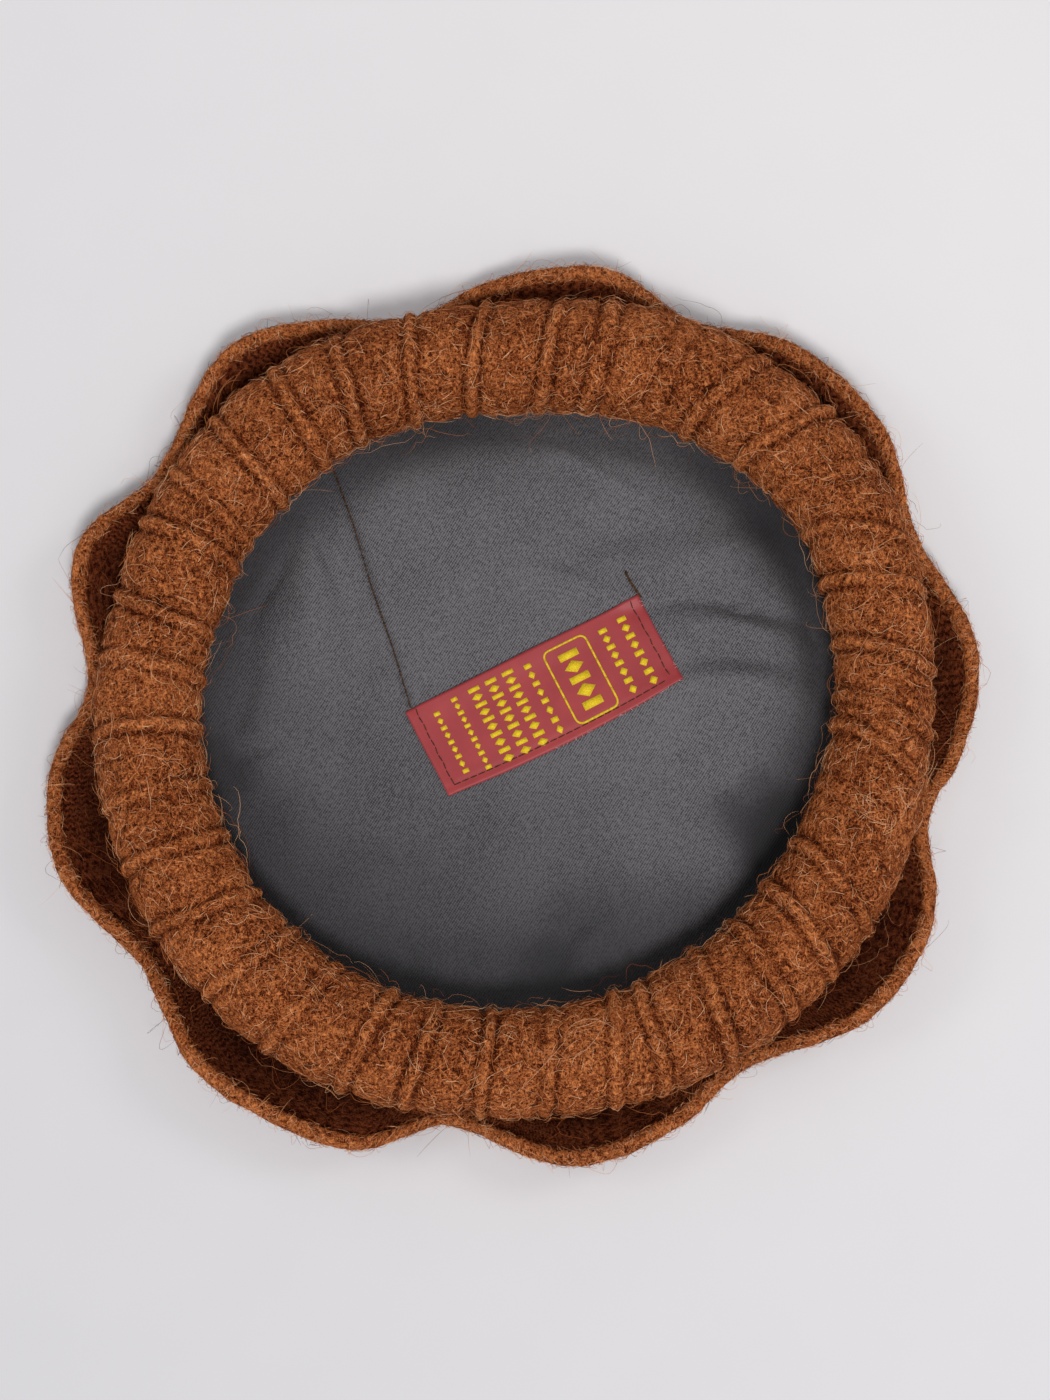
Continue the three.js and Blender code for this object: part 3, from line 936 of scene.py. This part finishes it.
def make_label_stitches():
    end = LABEL_LENGTH / 2 - STITCH_INSET
    low = -LABEL_WIDTH / 2 + LOWER_STITCH_INSET
    across = np.linspace(LABEL_WIDTH / 2 - 0.6, low, 30)
    lines = [label_points(np.full(30, side) + 0.2 * np.sin(across), across) for side in (-end, end)]
    lines.append(label_points(np.linspace(-end, end, 60), np.full(60, low)))
    paths = np.concatenate([stitches_along(line, *LABEL_STITCHES) for line in lines])
    return thread_piece("label_stitches", paths, LABEL_THREAD)


def make_seam():
    flat = along_line(SEAM, 80)
    line = np.column_stack([flat, lining_height(flat[:, 0], flat[:, 1])])
    return thread_piece("lining_seam", stitches_along(line, *SEAM_STITCHES), SEAM_THREAD)


def make_thread_tail():
    """Two strands wound round each other, whose end stands up off the lining."""
    steps = np.arange(14)
    flat = along_line(THREAD_TAIL, len(steps))
    rise = np.linspace(0.4, 1.1, len(steps))
    paths = []
    for side in (-0.25, 0.25):
        x = flat[:, 0] + side * np.cos(steps * 1.1)
        y = flat[:, 1] + side * np.sin(steps * 1.1)
        paths.append(np.column_stack([x, y, lining_height(x, y) + rise]))
    return thread_piece("thread_tail", np.array(paths), TAIL_THREAD)


def make_label_frays(random):
    """Pale cut threads along the label's lower edge and right end."""
    half_length = LABEL_LENGTH / 2
    half_width = LABEL_WIDTH / 2
    on_end = random.random(FRAYS) < 0.25
    along = np.where(on_end, half_length, random.uniform(-0.1, 1, FRAYS) * half_length)
    across = np.where(on_end, random.uniform(-1, 1, FRAYS) * half_width, -half_width)
    heading = random.uniform(0, 2 * math.pi, FRAYS)
    paths = [
        label_points(along + step * np.cos(heading), across + step * np.sin(heading), 0.05)
        for step in np.linspace(-0.5, 0.5, 4) * FRAY_LENGTH
    ]
    return thread_piece("label_frays", np.stack(paths, 1), FRAY_THREAD, 3)


def fibre_piece(name, paths, thickness, random):
    """Loose fibres as thin tapered tubes, each with a shade of its own."""
    count, steps = paths.shape[:2]
    share = np.linspace(0, 1, steps)
    taper = 0.35 + 0.65 * np.sin(math.pi * np.clip(share, 0.02, 0.98)) ** 0.6
    radii = thickness / 2 * random.uniform(0.7, 1.3, (count, 1)) * taper
    above = np.maximum(paths[..., 2] - HAIR_CEILING, 0)
    paths[..., 2] += HAIR_SLACK * np.tanh(above / HAIR_SLACK) - above
    paths[..., 2] = np.maximum(paths[..., 2], HAIR_FLOOR)
    points, faces = tube_mesh(paths, radii)
    shade = np.repeat(random.random(count), steps * 3)
    return new_piece(name, points, faces, {"shade": shade})


def lying_fibres(kind, surface, scales, places, random, combed=0.0):
    """Paths that wander over a surface from their places on it. scales gives how many of
    each coordinate one millimetre is. Where combed is 1 the fibres lie along the second
    coordinate, and where it is 0 all ways."""
    count, _, _, length, spread, steps, curl, arch, tip = FIBRES[kind]
    first, second = places
    step_length = random.lognormal(math.log(length), spread, count) / (steps - 1)
    any_way = random.uniform(-math.pi, math.pi, count)
    heading = math.pi / 2 + any_way * (1 - 0.85 * combed)
    bend = random.normal(0, curl, count)
    arches = np.abs(random.normal(arch, arch * 0.5, count))
    tips = np.abs(random.normal(0, tip, count))
    path = []
    for step in range(steps):
        share = step / (steps - 1)
        rise = arches * math.sin(math.pi * share) ** 0.7
        lift = FIBRE_ROOT + rise + (tips - FIBRE_ROOT) * share**2
        path.append(surface(first, second, lift))
        first_scale, second_scale = scales(first, second)
        first = first + np.cos(heading) * step_length * first_scale
        second = second + np.sin(heading) * step_length * second_scale
        heading = heading + bend * step_length
    return np.stack(path, 1)


def brim_scales(angles, turns):
    return np.degrees(1 / brim_radius(angles, turns)), 1 / brim_half_width(angles)


def lip_scales(angles, turns):
    return np.degrees(1 / rim_values(RIM_RADII, angles)), 1 / LIP_HALF_WIDTH


def wall_scales(angles, shares):
    reach = rim_values(RIM_RADII, angles) - brim_middle(angles) - FLOOR_REACH
    return np.degrees(1 / rim_values(RIM_RADII, angles)), 1 / (reach * 1.15)


def inner_wall(angles, shares, lift):
    shares = np.clip(shares, 0.05, 1)
    return wall_surface(angles, shares, inner_wall_across(shares) + lift)


def outer_wall(angles, shares, lift):
    return wall_surface(angles, np.clip(shares, 0.05, 1), -lift)


def along_ribs(angles, turns):
    """How far fibres follow the ribs: 1 on a rib, and 0 between two."""
    return smooth(brim_relief(angles, turns)[2], 0.15, 0.5)


def strewn_fibres(kind, surface, scales, random, combing=None):
    """Fibres all round the cap, on a belt of one surface."""
    count, belt = FIBRES[kind][:2]
    places = (random.uniform(0, 360, count), random.uniform(*belt, count))
    combed = combing(*places) if combing else 0.0
    return lying_fibres(kind, surface, scales, places, random, combed)


def make_fibres(name, surface, scales, random, combing=None):
    paths = strewn_fibres(name, surface, scales, random, combing)
    return fibre_piece(name, paths, FIBRES[name][2], random)


def make_stray_hairs(random):
    """Long hairs that reach past the outlines: on the roll's two sides, and on the rim."""
    count, sides, thickness = FIBRES["brim_strays"][:3]
    angles = random.uniform(0, 360, count)
    turns = random.choice(sides, count) + random.normal(0, STRAY_SPREAD, count)
    on_brim = lying_fibres("brim_strays", brim_surface, brim_scales, (angles, turns), random)
    on_rim = strewn_fibres("rim_strays", lip_surface, lip_scales, random)
    return fibre_piece("stray_hairs", np.concatenate([on_brim, on_rim]), thickness, random)


class Nodes:
    """A material's node tree, with short calls that add a node and link its inputs."""

    def __init__(self, name):
        self.material = bpy.data.materials.new(name)
        self.material.use_nodes = True
        self.tree = self.material.node_tree
        self.shader = self.tree.nodes["Principled BSDF"]
        self.shader.inputs["Metallic"].default_value = 0.0

    def add(self, kind, inputs=None, **settings):
        node = self.tree.nodes.new(kind)
        for key, value in settings.items():
            setattr(node, key, value)
        for key, value in (inputs or {}).items():
            self.feed(node.inputs[key], value)
        return node

    def feed(self, socket, value):
        if isinstance(value, bpy.types.NodeSocket):
            self.tree.links.new(value, socket)
        else:
            socket.default_value = value

    def place(self):
        return self.add("ShaderNodeTexCoord").outputs["Object"]

    def noise(self, place, scale, detail=2.0, distortion=0.0, roughness=0.5):
        inputs = {
            "Vector": place,
            "Scale": scale,
            "Detail": detail,
            "Distortion": distortion,
            "Roughness": roughness,
        }
        return self.add("ShaderNodeTexNoise", inputs).outputs["Fac"]

    def math(self, operation, first, second=0.0):
        return self.add("ShaderNodeMath", {0: first, 1: second}, operation=operation).outputs[0]

    def weigh(self, *terms):
        """The sum of values, each times its own weight."""
        total, *rest = [self.math("MULTIPLY", value, weight) for value, weight in terms]
        for term in rest:
            total = self.math("ADD", total, term)
        return total

    def blend(self, share, first, second):
        inputs = {0: share, 6: first, 7: second}
        return self.add("ShaderNodeMix", inputs, data_type="RGBA").outputs[2]

    def turned(self, place, turn, stretch=(1.0, 1.0, 1.0)):
        inputs = {"Vector": place, "Rotation": turn, "Scale": stretch}
        return self.add("ShaderNodeMapping", inputs).outputs["Vector"]

    def wave(self, place, scale, distortion, detail_scale=1.0):
        inputs = {
            "Vector": place,
            "Scale": scale,
            "Distortion": distortion,
            "Detail Scale": detail_scale,
        }
        return self.add("ShaderNodeTexWave", inputs).outputs["Fac"]

    def steps(self, value, stops):
        """Colours or greys at stops from 0 to 1."""
        node = self.add("ShaderNodeValToRGB", {"Fac": value})
        ramp = node.color_ramp
        while len(ramp.elements) < len(stops):
            ramp.elements.new(0.5)
        for element, (at, colour) in zip(ramp.elements, stops):
            element.position = at
            element.color = (*colour, 1)
        return node.outputs["Color"]

    def attribute(self, name):
        return self.add("ShaderNodeAttribute", attribute_name=name).outputs["Fac"]

    def bump(self, height, strength, distance):
        inputs = {"Height": height, "Strength": strength, "Distance": distance}
        return self.add("ShaderNodeBump", inputs).outputs["Normal"]

    def finish(self, colour, roughness, specular, normal=None):
        """Sets the shader's own sockets and gives the material."""
        self.feed(self.shader.inputs["Base Color"], colour)
        self.shader.inputs["Roughness"].default_value = roughness
        self.shader.inputs["Specular IOR Level"].default_value = specular
        if normal is not None:
            self.feed(self.shader.inputs["Normal"], normal)
        return self.material


def fibre_lines(nodes, place, scale, stretch, turn):
    """Thin curly lines, from 0 to 1, where a stretched noise crosses its middle value."""
    value = nodes.noise(nodes.turned(place, turn, stretch), scale, 1.5, 1.8)
    distance = nodes.math("ABSOLUTE", nodes.math("SUBTRACT", value, 0.5))
    line = nodes.math("SUBTRACT", 1.0, nodes.math("MULTIPLY", distance, 15.0))
    return nodes.math("MAXIMUM", line, 0.0)


def wool_material(name, dark, middle, light):
    """Felted wool: a tangle of curly fibres over a darker ground, with twisted ribs. Its grooves
    are darkened with painted shade, and its ribs and lip are lightened, partly as paler wool and
    partly as a painted highlight. Painted shade darkens it down the trench. The tone is kept
    under 1, because the ramp ends there."""
    nodes = Nodes(name)
    place = nodes.place()
    lines = 0.0
    for tangle in WOOL_TANGLES:
        lines = nodes.math("MAXIMUM", fibre_lines(nodes, place, *tangle), lines)
    ground = nodes.noise(place, 600.0, 4.0, 1.2, 0.75)
    patches = nodes.noise(place, 55.0, 2.0, 0.3)
    ridge = nodes.attribute("ridge")
    depth = nodes.attribute("depth")
    rows = nodes.math("PINGPONG", depth, KNIT_ROW / 2)
    turn = nodes.math("ADD", nodes.attribute("strand"), nodes.math("MULTIPLY", rows, 0.35))
    wave = nodes.math("SINE", nodes.math("MULTIPLY", turn, 2 * math.pi))
    value = nodes.weigh(
        (ground, 1.45),
        (lines, 0.36),
        (nodes.math("SUBTRACT", patches, 0.5), 0.3),
        (nodes.math("MULTIPLY", wave, ridge), 0.05),
        # Ribs lighter, partly paler wool and partly painted highlight; grooves darker with painted
        # shade
        (nodes.math("MINIMUM", ridge, 1.0), 0.08),
        (nodes.attribute("groove"), -0.2),
    )
    tone = nodes.math("MULTIPLY", value, 0.8)
    colour = nodes.steps(tone, [(0.51, dark), (0.655, middle), (1.0, light)])
    # Painted shade down the trench, from the depth below the lip
    deep = nodes.math("MINIMUM", nodes.math("DIVIDE", depth, PAINTED_SHADE_DEPTH), 1.0)
    colour = nodes.blend(nodes.math("MULTIPLY", deep, PAINTED_SHADE_SHARE), colour, (*dark, 1))
    return nodes.finish(colour, 0.95, 0.05, nodes.bump(value, 0.9, 0.0012))


def hair_material(name, colours):
    nodes = Nodes(name)
    colour = nodes.steps(nodes.attribute("shade"), list(zip((0.0, 0.25, 0.58, 1.0), colours)))
    return nodes.finish(colour, 0.8, 0.15)


def thread_material(name, dark, light):
    """Sewing thread: a fine grain between two colours."""
    nodes = Nodes(name)
    grain = nodes.noise(nodes.place(), 2200.0, 2.0, 0.5)
    colour = nodes.steps(grain, [(0.35, dark), (0.65, light)])
    return nodes.finish(colour, 0.7, 0.2, nodes.bump(grain, 0.5, 0.0002))


def lining_material():
    """Grey cotton twill: fine slanting threads and faint cloudy blotches, with painted shade mixed in.
    """
    nodes = Nodes("lining_twill")
    place = nodes.place()
    twill = nodes.wave(nodes.turned(place, (0, 0, 0.55)), 450.0, 1.1, 1.5)
    weft = nodes.wave(nodes.turned(place, (0, 0, -0.9)), 520.0, 1.4)
    threads = nodes.math("MULTIPLY", twill, nodes.math("ADD", weft, 0.5))
    clouds = nodes.noise(place, 35.0, 3.0)
    grain = nodes.noise(place, 1250.0)
    value = nodes.weigh((threads, 0.44), (clouds, 0.3), (grain, 0.9))
    colour = nodes.steps(value, list(zip((0.5, 1.0), COTTON)))
    # Painted shade mixed into the lining's colour
    colour = nodes.blend(nodes.attribute("painted_shade"), colour, (*COTTON_PAINTED_SHADE, 1))
    return nodes.finish(colour, 0.75, 0.3, nodes.bump(value, 0.5, 0.0004))


def label_material():
    """Red satin, woven along the label."""
    nodes = Nodes("label_satin")
    place = nodes.place()
    weave = nodes.wave(nodes.turned(place, (0, 0, math.radians(-LABEL_TURN))), 900.0, 0.6)
    value = nodes.weigh((weave, 0.4), (nodes.noise(place, 120.0, 3.0), 0.6))
    colour = nodes.steps(value, list(zip((0.2, 0.8), SATIN)))
    nodes.shader.inputs["Sheen Weight"].default_value = 0.05
    return nodes.finish(colour, 0.5, 0.5, nodes.bump(value, 0.3, 0.0002))


def floor_material():
    """A pale table, lighter towards one corner: a painted falloff of light."""
    nodes = Nodes("pale_floor")
    place = nodes.place()
    grain = nodes.math("MULTIPLY", nodes.noise(place, 40.0, 3.0), 0.12)
    # Painted light falloff: the floor grows lighter towards one corner
    across = nodes.add("ShaderNodeVectorMath", {0: place, 1: (1.1, 1.8, 0.0)}, operation="DOT_PRODUCT")
    shade = nodes.math("ADD", nodes.math("ADD", across.outputs["Value"], 0.44), grain)
    return nodes.finish(nodes.steps(shade, list(zip((0.0, 1.0), FLOOR))), 0.9, 0.1)


def make_floor():
    half = FLOOR_HALF
    corners = [(-half, -half, 0), (half, -half, 0), (half, half, 0), (-half, half, 0)]
    floor = new_piece("floor", np.array(corners) - [0, 0, FLOOR_DROP], [[0, 1, 2, 3]])
    floor.data.materials.append(floor_material())


def aimed_object(name, data, place, way):
    """A camera or light that looks one way from its place."""
    holder = bpy.data.objects.new(name, data)
    bpy.context.scene.collection.objects.link(holder)
    holder.location = place
    holder.rotation_euler = way.to_track_quat("-Z", "Y").to_euler()
    return holder


def add_camera():
    up = math.radians(VIEW_ELEVATION)
    back = Vector((0, -math.cos(up), math.sin(up)))
    place = VIEW_AIM + back * VIEW_DISTANCE
    camera = aimed_object("camera", bpy.data.cameras.new("camera"), place, -back)
    camera.data.sensor_width = SENSOR
    camera.data.lens = VIEW_FOCUS_PIXELS / PHOTO_HEIGHT * SENSOR
    bpy.context.scene.camera = camera


def add_lights():
    world = bpy.data.worlds.new("studio")
    world.use_nodes = True
    background = world.node_tree.nodes["Background"]
    background.inputs["Color"].default_value = (*SKY_COLOUR, 1)
    background.inputs["Strength"].default_value = SKY_STRENGTH
    bpy.context.scene.world = world
    for name, (place, size, power) in LAMPS.items():
        light = bpy.data.lights.new(name, "AREA")
        light.shape = "DISK"
        light.size = size
        light.energy = power
        light.color = LAMP_COLOUR
        aimed_object(name, light, place, -Vector(place))
    bpy.context.scene.view_settings.view_transform = "Standard"


def finish_piece(piece, material, slot, *nodes):
    piece.data.materials.append(material)
    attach(piece, "root")
    if nodes:
        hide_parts(*nodes)
    return piece


add_camera()
add_lights()
make_floor()

random = np.random.default_rng(7)
wool = wool_material("wool_felt", *WOOL)
# The side band gets a darker copy of the wool: painted shade for the trench
painted_shades = [tuple(s * c for s, c in zip(WOOL_PAINTED_SHADE, colour)) for colour in WOOL]
shaded_wool = wool_material("painted_shade_felt", *painted_shades)
hair = hair_material("wool_hair", HAIR)
painted_shade_hair = hair_material("painted_shade_hair", PAINTED_SHADE_HAIR)
brown_thread = thread_material("brown_thread", *BROWN)
yellow_thread = thread_material("yellow_thread", *YELLOW)
pale_thread = thread_material("pale_thread", *PALE)

brim = finish_piece(make_brim(), wool, "brim_wool", "rolled_brim")
crown = finish_piece(make_crown(), wool, "wool", "crown_disc")
band = finish_piece(make_band(), shaded_wool, "shaded_wool", "side_band")
lining = finish_piece(make_lining(), lining_material(), "lining_cotton", "lining")
label = finish_piece(make_label(), label_material(), "label_satin", "label")
label_print = finish_piece(make_label_print(), yellow_thread, "label_satin")
finish_piece(make_label_stitches(), brown_thread, "label_satin")
finish_piece(make_label_frays(random), pale_thread, "label_satin")
seam = finish_piece(make_seam(), brown_thread, "lining_cotton")
finish_piece(make_thread_tail(), brown_thread, "lining_cotton")

on_brim = (brim_surface, brim_scales, random)
finish_piece(make_fibres("brim_fuzz", *on_brim, along_ribs), hair, "brim_wool")
finish_piece(make_fibres("brim_hairs", *on_brim), hair, "brim_wool")
finish_piece(make_stray_hairs(random), hair, "brim_wool")
finish_piece(make_fibres("rim_fuzz", lip_surface, lip_scales, random), hair, "wool")
# Fuzz in the trench uses the darker hair: painted shade
side_fuzz = make_fibres("side_fuzz", inner_wall, wall_scales, random)
finish_piece(side_fuzz, painted_shade_hair, "shaded_wool")
finish_piece(make_fibres("crown_fuzz", outer_wall, wall_scales, random), hair, "wool")
